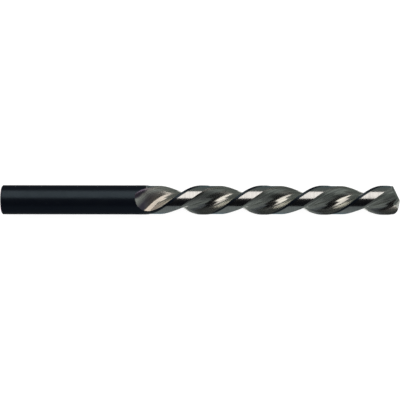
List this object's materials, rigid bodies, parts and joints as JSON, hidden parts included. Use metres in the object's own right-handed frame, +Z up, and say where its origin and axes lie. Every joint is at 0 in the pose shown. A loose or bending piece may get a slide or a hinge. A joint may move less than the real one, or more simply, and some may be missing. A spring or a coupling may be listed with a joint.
{
  "type": "twist drill bit",
  "caption": "Straight-shank twist drill with wide parabolic flutes on a left-hand helix, narrow margins and a split point.",
  "frame": {"origin": "centre of the shank's rear face", "axes": "+X along the drill's axis to the point, +Z up, with the drill lying on its side"},
  "size_m": [0.125, 0.0092, 0.0092],
  "materials": {
    "drill_steel": "ground bright flutes, black-oxide shank"
  },
  "bodies": {
    "root": {"twist_drill": "drill_steel"}
  },
  "joints": []
}
